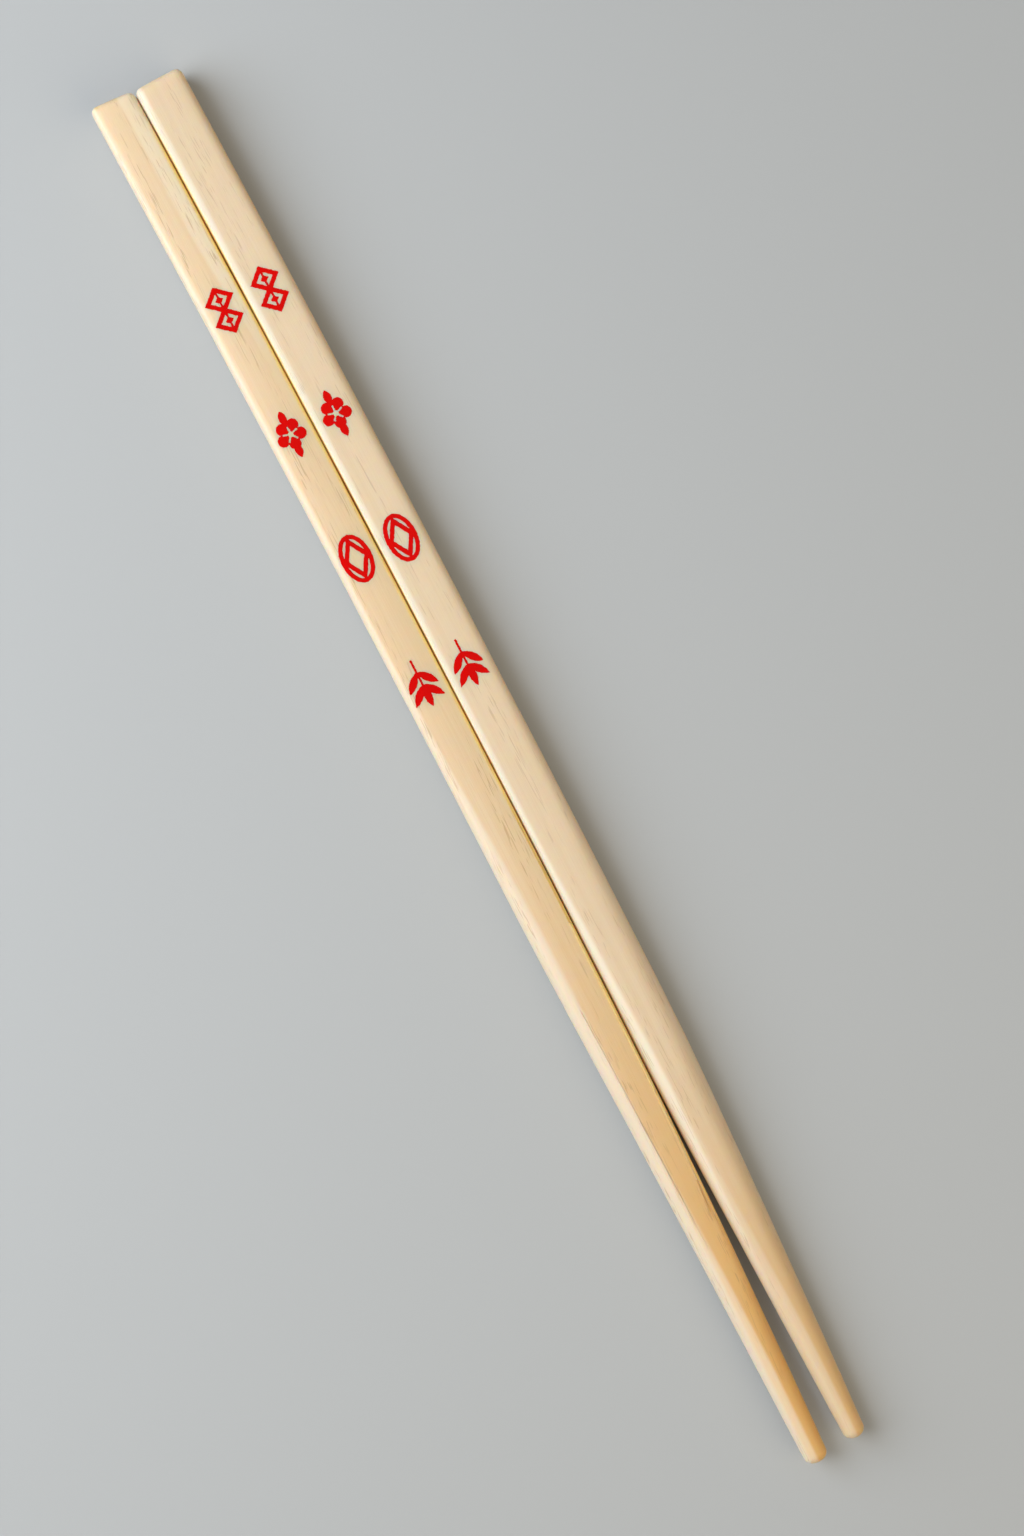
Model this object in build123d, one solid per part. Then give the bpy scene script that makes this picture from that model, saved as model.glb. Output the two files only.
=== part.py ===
from build123d import *

# A pair of bamboo chopsticks lying side by side on a table.
#
# Each stick is one piece of bamboo: a square handle with rounded long edges, which turns round towards the eating
# end and tapers to a blunt round tip. Both sticks have a slight natural bow, so their middle lines are arcs about
# one far-off upright axis, and each leans a little towards the other near its tip. The right handle is slightly
# wider at its butt, and the left butt is sawn a little askew. Four small red ornaments are printed on the top face
# of each handle.
#
# Frame: +Z is up, and the table is Z = 0. The tips point along -Y, and the right stick is on the +X side.
# The origin is the middle of the pair's footprint. All sizes are in millimetres.

import math
import os
from dataclasses import dataclass

# The handles, whose sides that meet run along one arc
HANDLE_HEIGHT = 7.5
CORNER_RADIUS = 1.15
BUTT_ROUNDING = 1.05
TIP_FLAT = 0.2

# How far the shaped part is sanded below the handle's top and above its underside, so that only the handle touches
# the table
SANDED_OFF = 0.04

# The left stick. Its taper and flats are measured back from the tip.
LEFT_LENGTH = 240.0
LEFT_BUTT_WIDTH = 7.5
LEFT_HANDLE_WIDTH = 7.5
LEFT_TAPER_LENGTH = 101.0
LEFT_TAPER_POWER = 1.55
LEFT_TIP_WIDTH = 3.75
LEFT_TIP_ROUNDING = 1.4
LEFT_FLATS_FADE_FROM = 122.0
LEFT_FLATS_FADE_TO = 16.0
LEFT_BUTT_SLANT = 5.0
LEFT_LEAN = 0.42
LEFT_LEAN_FROM = 72.0
LEFT_LEAN_TO = 28.0

# The right stick, whose handle end stands a little further back than the left one's
RIGHT_LENGTH = 239.0
RIGHT_BUTT_WIDTH = 8.2
RIGHT_HANDLE_WIDTH = 7.82
RIGHT_TAPER_LENGTH = 68.5
RIGHT_TAPER_POWER = 1.2
RIGHT_TIP_WIDTH = 3.42
RIGHT_TIP_ROUNDING = 1.3
RIGHT_FLATS_FADE_FROM = 130.0
RIGHT_FLATS_FADE_TO = 36.0
RIGHT_BUTT_LEAD = 0.2
RIGHT_LEAN = -0.19
RIGHT_LEAN_FROM = 82.0
RIGHT_LEAN_TO = 50.0

# How the pair lies
BEND_RADIUS = 5400.0
SEAM_GAP = 0.1

# The red prints
PRINT_START = 37.5
PRINT_PITCH = 21.9
PRINT_LENGTH = 8.0
PRINT_STROKE = 0.72
PRINT_MARGIN = 0.1
INK_THICKNESS = 0.05

# Sections in the shaped part of each stick
SHAPED_SECTIONS = 16

# What is sawn off beyond the butt
SAWN_OFF = 2.0

# The ornaments
LOZENGE_LENGTH = 4.5
LOZENGE_CORE_SHARE = 0.28
PETALS = 5
PETAL_SHARE = 0.62
PETAL_SLIT = 0.28
PETAL_JOIN = 0.25
BLOSSOM_EYE = 0.45
BLOSSOM_LEAF_LENGTH = 2.5
BLOSSOM_LEAF_WIDTH = 1.25
LEAF_PAIRS = 2
LEAF_SLANT = 42.0
LEAF_WIDTH = 1.25

# A butt's rounding stays within this share of the long edges' rounding, and a tip's within this share of its width
LARGEST_BUTT_ROUNDING = 0.95
LARGEST_TIP_ROUNDING = 0.45

HANDLE_FLAT = HANDLE_HEIGHT - 2 * CORNER_RADIUS
PRINT_WIDTH = HANDLE_FLAT - 2 * PRINT_MARGIN


def soft_step(share):
    """A soft step from 0 to 1."""
    share = min(1.0, max(0.0, share))
    return share * share * (3 - 2 * share)


@dataclass(frozen=True)
class Stick:
    """One chopstick. Places along it are distances from its butt, measured on its middle line."""

    name: str
    side: int
    length: float
    butt_width: float
    handle_width: float
    taper_length: float
    taper_power: float
    tip_width: float
    tip_rounding: float
    flats_fade_from: float
    flats_fade_to: float
    butt_lead: float
    butt_slant: float
    lean: float
    lean_from: float
    lean_to: float

    @property
    def handle_end(self):
        """Where the handle ends and the shaped part starts."""
        return self.length - max(self.taper_length, self.flats_fade_from)

    @property
    def bend_radius(self):
        """The radius of the arc that the middle line follows at the handle's end."""
        return BEND_RADIUS + self.side * (self.handle_width + SEAM_GAP) / 2

    def taper(self, place):
        """How much of the taper is done: it starts gently and steepens towards the tip."""
        return max(0.0, 1 - (self.length - place) / self.taper_length) ** self.taper_power

    def square_width(self, place):
        """The width before the taper, which narrows evenly along the handle."""
        share = min(1.0, max(0.0, place / self.handle_end))
        return self.butt_width + (self.handle_width - self.butt_width) * share

    def width(self, place):
        """The size across the stick."""
        whole = self.square_width(place)
        return whole - (whole - self.tip_width) * self.taper(place)

    def height(self, place):
        """The size of the shaped part from its underside to its top. It starts as high as the handle."""
        whole = HANDLE_HEIGHT - 2 * SANDED_OFF if place > self.handle_end else HANDLE_HEIGHT
        return whole - (whole - self.tip_width) * self.taper(place)

    def rounding(self, place):
        """The radius of the long edges, which grows until the section is round."""
        share = (self.length - place - self.flats_fade_to) / (self.flats_fade_from - self.flats_fade_to)
        share = min(1.0, max(0.0, share))
        flat = TIP_FLAT + (HANDLE_FLAT - TIP_FLAT) * share
        return min(self.height(place) - flat, self.width(place) - TIP_FLAT) / 2

    def offset(self, place):
        """How far the middle line lies from the seam's arc, towards +X."""
        lean = self.lean * soft_step((self.lean_from - self.length + place) / (self.lean_from - self.lean_to))
        return self.side * (self.square_width(place) + SEAM_GAP) / 2 + lean

    def turn(self, place):
        """The angle of a place on the stick, about the far-off axis that the stick bends around."""
        return (LEFT_LENGTH / 2 + self.butt_lead - place) / self.bend_radius

    def middle(self, place, height):
        """The point above or on the stick's middle line, at one height over the table."""
        angle = self.turn(place)
        radius = BEND_RADIUS + self.offset(place)
        return (radius * math.cos(angle) - BEND_RADIUS, radius * math.sin(angle), height)

    def side_point(self, place, share):
        """The point on the table under the seam's side of the handle, for -1, or under its other side, for 1."""
        angle = self.turn(place)
        radius = BEND_RADIUS + self.offset(place) + self.side * share * self.square_width(place) / 2
        return (radius * math.cos(angle) - BEND_RADIUS, radius * math.sin(angle), 0)

    def across(self, place):
        """The level direction across the stick, towards +X."""
        angle = self.turn(place)
        return (math.cos(angle), math.sin(angle), 0)

    def along(self, place):
        """The level direction along the stick, towards its tip."""
        angle = self.turn(place)
        return (math.sin(angle), -math.cos(angle), 0)

    def section(self, place):
        """The rounded square that the stick is cut to at one place."""
        plane = Plane(origin=self.middle(place, HANDLE_HEIGHT / 2), x_dir=self.across(place), z_dir=self.along(place))
        return plane * RectangleRounded(self.width(place), self.height(place), self.rounding(place))

    def butt_plane(self):
        """The plane of the sawn butt, which faces along the stick."""
        angle = self.turn(0) - math.radians(self.butt_slant)
        return Plane(
            origin=self.middle(0, HANDLE_HEIGHT / 2),
            x_dir=(math.cos(angle), math.sin(angle), 0),
            z_dir=(math.sin(angle), -math.cos(angle), 0),
        )


left_stick = Stick(
    name="left",
    side=-1,
    length=LEFT_LENGTH,
    butt_width=LEFT_BUTT_WIDTH,
    handle_width=LEFT_HANDLE_WIDTH,
    taper_length=LEFT_TAPER_LENGTH,
    taper_power=LEFT_TAPER_POWER,
    tip_width=LEFT_TIP_WIDTH,
    tip_rounding=LEFT_TIP_ROUNDING,
    flats_fade_from=LEFT_FLATS_FADE_FROM,
    flats_fade_to=LEFT_FLATS_FADE_TO,
    butt_lead=0.0,
    butt_slant=LEFT_BUTT_SLANT,
    lean=LEFT_LEAN,
    lean_from=LEFT_LEAN_FROM,
    lean_to=LEFT_LEAN_TO,
)
right_stick = Stick(
    name="right",
    side=1,
    length=RIGHT_LENGTH,
    butt_width=RIGHT_BUTT_WIDTH,
    handle_width=RIGHT_HANDLE_WIDTH,
    taper_length=RIGHT_TAPER_LENGTH,
    taper_power=RIGHT_TAPER_POWER,
    tip_width=RIGHT_TIP_WIDTH,
    tip_rounding=RIGHT_TIP_ROUNDING,
    flats_fade_from=RIGHT_FLATS_FADE_FROM,
    flats_fade_to=RIGHT_FLATS_FADE_TO,
    butt_lead=RIGHT_BUTT_LEAD,
    butt_slant=0.0,
    lean=RIGHT_LEAN,
    lean_from=RIGHT_LEAN_FROM,
    lean_to=RIGHT_LEAN_TO,
)


def handle_body(stick):
    """The handle: its plan between two arcs, raised to its height, rounded along and sawn off at the butt."""
    start = -SAWN_OFF
    middle = (start + stick.handle_end) / 2
    inner = [stick.side_point(place, -1) for place in (start, middle, stick.handle_end)]
    outer = [stick.side_point(place, 1) for place in (stick.handle_end, middle, start)]
    plan = ThreePointArc(*inner) + Line(inner[-1], outer[0]) + ThreePointArc(*outer) + Line(outer[-1], inner[0])
    bar = extrude(make_face(plan), HANDLE_HEIGHT, dir=(0, 0, 1))
    long_edges = bar.edges().filter_by(lambda edge: edge.length > stick.handle_end)
    bar = fillet(long_edges, CORNER_RADIUS)
    return split(bar, bisect_by=stick.butt_plane(), keep=Keep.TOP)


def stick_body(stick):
    """The handle, and the shaped part as a loft that carries on from its end."""
    step = (stick.length - stick.handle_end) / (SHAPED_SECTIONS - 1)
    shaped = loft([stick.section(stick.handle_end + i * step).face() for i in range(SHAPED_SECTIONS)])
    body = handle_body(stick) + shaped

    butt = body.faces().sort_by(Axis.Y)[-1]
    body = fillet(butt.edges(), min(BUTT_ROUNDING, LARGEST_BUTT_ROUNDING * CORNER_RADIUS))
    tip = body.faces().sort_by(Axis.Y)[0]
    return fillet(tip.edges(), min(stick.tip_rounding, LARGEST_TIP_ROUNDING * stick.tip_width))


# Each ornament is drawn about its middle: x runs along the stick towards the tip, y across it.


def lozenge(length, width):
    """A lozenge with its length along x."""
    return Polygon((-length / 2, 0), (0, -width / 2), (length / 2, 0), (0, width / 2))


def lozenge_outline(length, width):
    """A lozenge drawn as an even stroke."""
    side_distance = length * width / (2 * math.hypot(length, width))
    inner_share = 1 - PRINT_STROKE / side_distance
    return lozenge(length, width) - lozenge(length * inner_share, width * inner_share)


def leaf(length, width):
    """A leaf that grows along x from the origin: what two equal discs have in common."""
    radius = (length**2 + width**2) / (4 * width)
    rise = radius - width / 2
    return Pos(length / 2, 0) * (Pos(0, rise) * Circle(radius) & Pos(0, -rise) * Circle(radius))


def linked_lozenges():
    """Two lozenge outlines that meet, each around a small solid lozenge, threaded on a thin line."""
    offset = (PRINT_LENGTH - LOZENGE_LENGTH) / 2
    shape = Rectangle(PRINT_LENGTH - PRINT_STROKE, PRINT_STROKE / 2)
    for side in (-1, 1):
        shape += Pos(side * offset, 0) * lozenge_outline(LOZENGE_LENGTH, PRINT_WIDTH)
        shape += Pos(side * offset, 0) * lozenge(LOZENGE_LENGTH * LOZENGE_CORE_SHARE, PRINT_WIDTH * LOZENGE_CORE_SHARE)
    return shape


def blossom():
    """A flower of five petals around an open middle, with a leaf before and after it."""
    petal_place = PRINT_WIDTH / 2 / (1 + PETAL_SHARE)
    petal_radius = PETAL_SHARE * petal_place
    half_turn = math.pi / PETALS
    notch = petal_place * math.cos(half_turn) + math.sqrt(petal_radius**2 - (petal_place * math.sin(half_turn)) ** 2)
    slit_length = notch - PETAL_JOIN
    shape = Circle(petal_place)
    for petal in range(PETALS):
        shape += Rot(0, 0, petal * 360 / PETALS) * Pos(petal_place, 0) * Circle(petal_radius)
    for side in (0, 180):
        inner_end = PRINT_LENGTH / 2 - BLOSSOM_LEAF_LENGTH
        shape += Rot(0, 0, side) * Pos(inner_end, 0) * leaf(BLOSSOM_LEAF_LENGTH, BLOSSOM_LEAF_WIDTH)
    for petal in range(PETALS):
        turn = Rot(0, 0, (petal + 0.5) * 360 / PETALS)
        shape -= turn * Pos(slit_length / 2, 0) * Rectangle(slit_length, PETAL_SLIT)
    return shape - Circle(BLOSSOM_EYE)


def coin():
    """An oval ring with a lozenge outline inside that touches it."""
    inner_length = PRINT_LENGTH - 2 * PRINT_STROKE
    inner_width = PRINT_WIDTH - 2 * PRINT_STROKE
    ring = Ellipse(PRINT_LENGTH / 2, PRINT_WIDTH / 2) - Ellipse(inner_length / 2, inner_width / 2)
    return ring + lozenge_outline(inner_length + PRINT_STROKE, inner_width + PRINT_STROKE)


def leaf_sprig():
    """A stem with pairs of slanting leaves and one leaf at its end."""
    leaf_length = PRINT_WIDTH / 2 / math.sin(math.radians(LEAF_SLANT))
    last_pair = PRINT_LENGTH / 2 - leaf_length
    leafy_length = last_pair + PRINT_LENGTH / 2
    stem_length = leafy_length + PRINT_STROKE
    shape = Pos((stem_length - PRINT_LENGTH) / 2, 0) * Rectangle(stem_length, PRINT_STROKE / 2)
    shape += Pos(last_pair, 0) * leaf(leaf_length, LEAF_WIDTH)
    for pair in range(LEAF_PAIRS):
        place = last_pair - pair * leafy_length / LEAF_PAIRS
        for side in (-1, 1):
            shape += Pos(place, 0) * Rot(0, 0, side * LEAF_SLANT) * leaf(leaf_length, LEAF_WIDTH)
    return shape


ORNAMENTS = {
    "lozenge": linked_lozenges,
    "blossom": blossom,
    "coin": coin,
    "sprig": leaf_sprig,
}


def prints(stick):
    """The red ornaments as films of ink on the stick's top face, one after another from the butt."""
    films = {}
    for count, (name, ornament) in enumerate(ORNAMENTS.items()):
        place = PRINT_START + count * PRINT_PITCH
        plane = Plane(origin=stick.middle(place, HANDLE_HEIGHT), x_dir=stick.along(place), z_dir=(0, 0, 1))
        films[f"{stick.name}_{name}_print"] = extrude(plane * ornament(), INK_THICKNESS)
    return films


nodes = {}
for stick in (left_stick, right_stick):
    nodes[f"{stick.name}_stick"] = stick_body(stick)
    nodes.update(prints(stick))

footprint = Compound(list(nodes.values())).bounding_box()
to_origin = Pos(-footprint.center().X, -footprint.center().Y, 0)

os.makedirs("parts", exist_ok=True)
for name, shape in nodes.items():
    export_step(to_origin * shape, f"parts/{name}.step")
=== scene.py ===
"""A pair of bamboo chopsticks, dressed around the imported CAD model.

Two sticks lie side by side on a pale floor. Each is one piece of bamboo with a square handle that turns round
towards a blunt tip, and carries four small red ornaments printed on its top face. Shapes are written in
millimetres in each stick's own terms, and turned into metres when a mesh is made.
"""

import enum
import logging
import math
from collections.abc import Callable
from dataclasses import dataclass

import bpy
import numpy as np
from mathutils import Matrix, Vector


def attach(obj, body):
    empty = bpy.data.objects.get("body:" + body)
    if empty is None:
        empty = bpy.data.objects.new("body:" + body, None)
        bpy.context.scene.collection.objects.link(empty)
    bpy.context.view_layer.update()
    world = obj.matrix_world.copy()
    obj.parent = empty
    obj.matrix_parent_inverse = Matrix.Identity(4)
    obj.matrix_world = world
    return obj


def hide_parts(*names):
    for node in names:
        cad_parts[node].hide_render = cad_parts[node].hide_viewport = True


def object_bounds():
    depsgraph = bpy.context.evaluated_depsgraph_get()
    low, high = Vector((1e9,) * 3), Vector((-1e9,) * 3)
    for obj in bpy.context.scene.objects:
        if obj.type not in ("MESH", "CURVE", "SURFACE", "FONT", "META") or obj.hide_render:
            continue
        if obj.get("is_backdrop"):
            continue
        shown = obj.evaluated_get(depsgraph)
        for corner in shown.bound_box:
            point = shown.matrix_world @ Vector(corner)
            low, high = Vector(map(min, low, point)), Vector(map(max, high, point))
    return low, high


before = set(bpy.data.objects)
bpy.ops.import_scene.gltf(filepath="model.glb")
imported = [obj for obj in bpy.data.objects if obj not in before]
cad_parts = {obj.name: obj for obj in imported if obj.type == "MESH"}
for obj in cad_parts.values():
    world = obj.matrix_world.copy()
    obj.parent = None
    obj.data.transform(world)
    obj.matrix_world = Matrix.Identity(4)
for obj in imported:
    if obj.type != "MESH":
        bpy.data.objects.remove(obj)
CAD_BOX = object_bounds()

LOG = logging.getLogger("chopsticks")
MILLIMETRE = 0.001
GRAIN_ATTRIBUTE = "grain"
END_ATTRIBUTE = "end_grain"
SLOPE_STEP = 1e-4
QUARTER_SAMPLES = 4001
SENSOR_WIDTH = 36.0
NEAREST_SEEN, FARTHEST_SEEN = 0.01, 20.0
FIRST_SEED = 11

Colour = tuple[float, float, float]
Shape = Callable[[np.ndarray, np.ndarray], np.ndarray]
Feed = float | tuple[float, ...] | bpy.types.NodeSocket


def smooth_step(value: np.ndarray) -> np.ndarray:
    """A soft step: 0 below 0, 1 above 1, and 3 v squared less 2 v cubed between them."""
    share = np.clip(value, 0.0, 1.0)
    return share * share * (3.0 - 2.0 * share)


def make_piece(
    name: str, points: np.ndarray, faces: list[np.ndarray], material: bpy.types.Material
) -> bpy.types.Object:
    """Makes a smooth mesh piece at the origin from whole arrays.

    Args:
        name: The name of the piece.
        points: The vertices in millimetres, one row each.
        faces: Arrays of vertex numbers, one row a face, wound so that the face points outwards.
        material: The material of the whole piece.

    Returns:
        The new object, linked to the scene.
    """
    mesh = bpy.data.meshes.new(name)
    mesh.vertices.add(len(points))
    mesh.vertices.foreach_set("co", (points * MILLIMETRE).astype(np.float32).ravel())
    corners = np.concatenate([f.ravel() for f in faces]).astype(np.int32)
    sizes = np.concatenate([np.full(len(f), f.shape[1]) for f in faces])
    starts = np.concatenate([[0], np.cumsum(sizes)[:-1]]).astype(np.int32)
    mesh.loops.add(len(corners))
    mesh.loops.foreach_set("vertex_index", corners)
    mesh.polygons.add(len(sizes))
    mesh.polygons.foreach_set("loop_start", starts)
    mesh.update(calc_edges=True)
    mesh.validate()
    mesh.shade_smooth()
    mesh.materials.append(material)
    piece = bpy.data.objects.new(name, mesh)
    bpy.context.scene.collection.objects.link(piece)
    return piece


def add_grain(piece: bpy.types.Object, grain: np.ndarray, end_share: np.ndarray | None = None) -> None:
    """Stores where each vertex lies in the straight blank that the stick was cut from.

    Args:
        piece: The piece to mark.
        grain: Rows of place along, across and up, in millimetres.
        end_share: How far each vertex lies on a sawn end, from 0 to 1, or None for nowhere.
    """
    along = piece.data.attributes.new(GRAIN_ATTRIBUTE, "FLOAT_VECTOR", "POINT")
    along.data.foreach_set("vector", grain.astype(np.float32).ravel())
    if end_share is not None:
        ends = piece.data.attributes.new(END_ATTRIBUTE, "FLOAT", "POINT")
        ends.data.foreach_set("value", end_share.astype(np.float32).ravel())


@dataclass(frozen=True)
class Blank:
    """The square bamboo blank that both sticks are made from, and how the pair lies."""

    height: float = 7.5
    corner_radius: float = 1.15
    tip_flat: float = 0.2
    butt_rounding: float = 1.05
    end_dome: float = 0.12
    slant_reach: float = 15.0
    seam_opening: float = 6.0
    crown: float = 0.045
    bend_radius: float = 5400.0
    seam_gap: float = 0.01
    half_length: float = 120.0

    @property
    def flat(self) -> float:
        """The width of the flat between the rounded long edges."""
        return self.height - 2 * self.corner_radius


BLANK = Blank()


@dataclass(frozen=True)
class Ripple:
    """One slow unevenness left by sanding: a wave along the stick whose phase runs around it."""

    height: float
    length: float
    phase: float
    turns: int


@dataclass(frozen=True)
class Stick:
    """One chopstick. Places along it are distances in millimetres from its butt.

    A section is a rounded square given by its support function: the distance from the middle line to the tangent
    whose outward normal leans by an angle from straight up towards the right.
    """

    name: str
    side: int
    length: float
    butt_width: float
    handle_width: float
    taper_length: float
    taper_power: float
    tip_width: float
    tip_rounding: float
    flats_fade_from: float
    flats_fade_to: float
    butt_lead: float
    butt_slant: float
    lean: float
    lean_from: float
    lean_to: float
    seam_radius: float
    seam_hold: float
    ripples: tuple[Ripple, ...]
    quarter_points: int = 28
    ring_spacing: float = 0.5
    face_rings: int = 9
    rim_rings: int = 15
    rim_fade: float = 1.25
    seam_turn: float = 3.0

    @property
    def handle_end(self) -> float:
        """Where the handle ends and the shaped part starts."""
        return self.length - max(self.taper_length, self.flats_fade_from)

    @property
    def bend_radius(self) -> float:
        """The radius of the arc that the middle line follows at the handle's end."""
        return BLANK.bend_radius + self.side * (self.handle_width + BLANK.seam_gap) / 2

    @property
    def butt_y(self) -> float:
        """How far back the butt stands, measured along the arc."""
        return BLANK.half_length + self.butt_lead

    def taper(self, place: np.ndarray) -> np.ndarray:
        """How much of the taper is done: a power of the way into it."""
        return np.maximum(0.0, 1 - (self.length - place) / self.taper_length) ** self.taper_power

    def square_width(self, place: np.ndarray) -> np.ndarray:
        """The width before the taper, which narrows evenly along the handle."""
        share = np.clip(place / self.handle_end, 0.0, 1.0)
        return self.butt_width + (self.handle_width - self.butt_width) * share

    def width(self, place: np.ndarray) -> np.ndarray:
        """The size across the stick."""
        whole = self.square_width(place)
        return whole - (whole - self.tip_width) * self.taper(place)

    def height(self, place: np.ndarray) -> np.ndarray:
        """The size from the underside to the top."""
        return BLANK.height - (BLANK.height - self.tip_width) * self.taper(place)

    def flat_share(self, place: np.ndarray) -> np.ndarray:
        """How much of the handle's flats is left: 1 on the handle and 0 where the section is round."""
        share = (self.length - place - self.flats_fade_to) / (self.flats_fade_from - self.flats_fade_to)
        return np.clip(share, 0.0, 1.0)

    def rounding(self, place: np.ndarray, angle: np.ndarray) -> np.ndarray:
        """The radius of the long edges: half of what the flat leaves of the height, until the section is round.

        At the seam it is blended towards the tight seam radius, by soft steps of how far the normal leans to the
        seam, of how much of the flats is left, and of the way past the butt's rounding.

        Args:
            place: Distances from the butt.
            angle: Angles of the outward normal, from straight up towards the right.

        Returns:
            The radii in millimetres.
        """
        share = self.flat_share(place)
        flat = BLANK.tip_flat + (BLANK.flat - BLANK.tip_flat) * share
        radius = (self.height(place) - flat) / 2
        tight = smooth_step(0.5 - self.seam_turn * self.side * np.sin(angle)) * smooth_step(share / self.seam_hold)
        tight = tight * smooth_step((place - BLANK.butt_rounding - BLANK.end_dome) / BLANK.seam_opening)
        return radius + (self.seam_radius - radius) * tight

    def offset(self, place: np.ndarray) -> np.ndarray:
        """How far the middle line lies from the seam's arc, to the right."""
        lean = smooth_step((self.lean_from - self.length + place) / (self.lean_from - self.lean_to))
        return self.side * (self.square_width(place) + BLANK.seam_gap) / 2 + self.lean * lean

    def ripple(self, place: np.ndarray, angle: np.ndarray) -> np.ndarray:
        """The unevenness of the sanded skin: a sum of long low waves along the stick.

        Args:
            place: Distances from the butt.
            angle: Angles of the outward normal.

        Returns:
            How far the skin stands out, in millimetres.
        """
        total = np.zeros(np.broadcast(place, angle).shape)
        for wave in self.ripples:
            total = total + wave.height * np.sin(
                2 * math.pi * place / wave.length + wave.phase + wave.turns * angle
            )
        return total

    def section(
        self, place: np.ndarray, angle: np.ndarray, inset: np.ndarray | float = 0.0, lift: np.ndarray | float = 0.0
    ) -> tuple[np.ndarray, np.ndarray]:
        """Points of the outline: each lies the support along the normal and the support's slope along the tangent.

        Args:
            place: Distances from the butt.
            angle: Angles of the outward normal, from straight up towards the right.
            inset: How far the outline is drawn in, at the rounded ends.
            lift: How far the point stands off the skin.

        Returns:
            The distances to the right of the middle line and above it.
        """
        support = self.support(place, angle) - inset + lift
        ahead, behind = self.support(place, angle + SLOPE_STEP), self.support(place, angle - SLOPE_STEP)
        slope = (ahead - behind) / (2 * SLOPE_STEP)
        cosine, sine = np.cos(angle), np.sin(angle)
        return support * sine + slope * cosine, support * cosine - slope * sine

    def support(self, place: np.ndarray, angle: np.ndarray) -> np.ndarray:
        """The support: each flat's half width times the softened size of the sine or cosine, plus the corner.

        The softening gives the flats a slight crown, and the half widths are set so that the width and the
        height come out exact.

        Args:
            place: Distances from the butt.
            angle: Angles of the outward normal, from straight up towards the right.

        Returns:
            The distances from the middle line to the tangents.
        """
        soft, whole = BLANK.crown, math.hypot(1, BLANK.crown)
        corner = self.rounding(place, angle)
        side, top = self.width(place) / 2 - corner, self.height(place) / 2 - corner
        across = (whole * side - soft * top) * np.hypot(np.sin(angle), soft)
        up = (whole * top - soft * side) * np.hypot(np.cos(angle), soft)
        return across + up + corner + self.ripple(place, angle)

    def bend(self, place: np.ndarray, across: np.ndarray, up: np.ndarray) -> np.ndarray:
        """Carries straight places onto the bent stick: an arc about a far-off upright axis, with a slanting butt.

        Args:
            place: Distances from the butt.
            across: Distances to the right of the middle line.
            up: Distances above it.

        Returns:
            Rows of x, y and z in millimetres, in the arc's own frame.
        """
        slant = math.tan(math.radians(self.butt_slant)) * (1 - smooth_step(place / BLANK.slant_reach))
        turn = (self.butt_y - place - slant * across) / self.bend_radius
        radius = BLANK.bend_radius + self.offset(place) + across
        x = radius * np.cos(turn) - BLANK.bend_radius
        y = radius * np.sin(turn)
        return np.stack(np.broadcast_arrays(x, y, up + BLANK.height / 2), axis=-1)

    def angles(self) -> np.ndarray:
        """The normals' angles around one section, spaced evenly over the flats and the corners alike.

        Each quarter's angles sit at even steps of a measure: the angle over its softened size, plus the angle itself.

        Returns:
            The angles, once around.
        """
        fine = np.linspace(-math.pi / 4, math.pi / 4, QUARTER_SAMPLES)
        measure = fine / np.hypot(fine, BLANK.crown) + fine / (math.pi / 4)
        steps = np.linspace(measure[0], measure[-1], self.quarter_points + 1)[:-1]
        quarter = np.interp(steps, measure, fine)
        return (quarter[None, :] + np.arange(4)[:, None] * math.pi / 2).ravel()

    def rings(self) -> np.ndarray:
        """The rings from the middle of the butt to the middle of the tip.

        Each end is a slightly domed face, a quarter circle of rounding, and then the shaft.

        Returns:
            Rows of place, inset, shrink and share of sawn end.
        """
        rows = []
        for rounding in (BLANK.butt_rounding, self.tip_rounding):
            shrink = np.linspace(0, 1, self.face_rings)[1:-1]
            swing = np.linspace(0, math.pi / 2, self.rim_rings)
            face = np.stack(
                [BLANK.end_dome * shrink**2, np.full_like(shrink, rounding), shrink, np.ones_like(shrink)], axis=1
            )
            rim = np.stack(
                [
                    BLANK.end_dome + rounding * (1 - np.cos(swing)),
                    rounding * (1 - np.sin(swing)),
                    np.ones_like(swing),
                    smooth_step(1 - np.sin(swing) * self.rim_fade),
                ],
                axis=1,
            )
            rows.append(np.concatenate([face, rim]))
        butt, tip = rows
        tip = tip[::-1].copy()
        tip[:, 0] = self.length - tip[:, 0]
        start, end = butt[-1, 0], tip[0, 0]
        count = int((end - start) / self.ring_spacing)
        shaft = np.zeros((count - 1, 4))
        shaft[:, 0] = np.linspace(start, end, count + 1)[1:-1]
        shaft[:, 2] = 1.0
        return np.concatenate([butt, shaft, tip])

    def skin(self) -> tuple[np.ndarray, np.ndarray, np.ndarray, list[np.ndarray]]:
        """The whole skin as a closed grid of rings with a pole at each end.

        Returns:
            The bent points, their straight places, their share of sawn end, and the faces.
        """
        rings, angle = self.rings(), self.angles()
        place, inset, shrink, end = (rings[:, i][:, None] for i in range(4))
        across, up = self.section(place, angle[None, :], inset)
        across, up = across * shrink, up * shrink
        place = np.broadcast_to(place, across.shape)
        grain = np.stack([place, across, up], axis=-1).reshape(-1, 3)
        poles = np.array([[0.0, 0.0, 0.0], [self.length, 0.0, 0.0]])
        grain = np.concatenate([grain, poles])
        ends = np.concatenate([np.broadcast_to(end, across.shape).ravel(), [1.0, 1.0]])
        points = self.bend(grain[:, 0], grain[:, 1], grain[:, 2])

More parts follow.
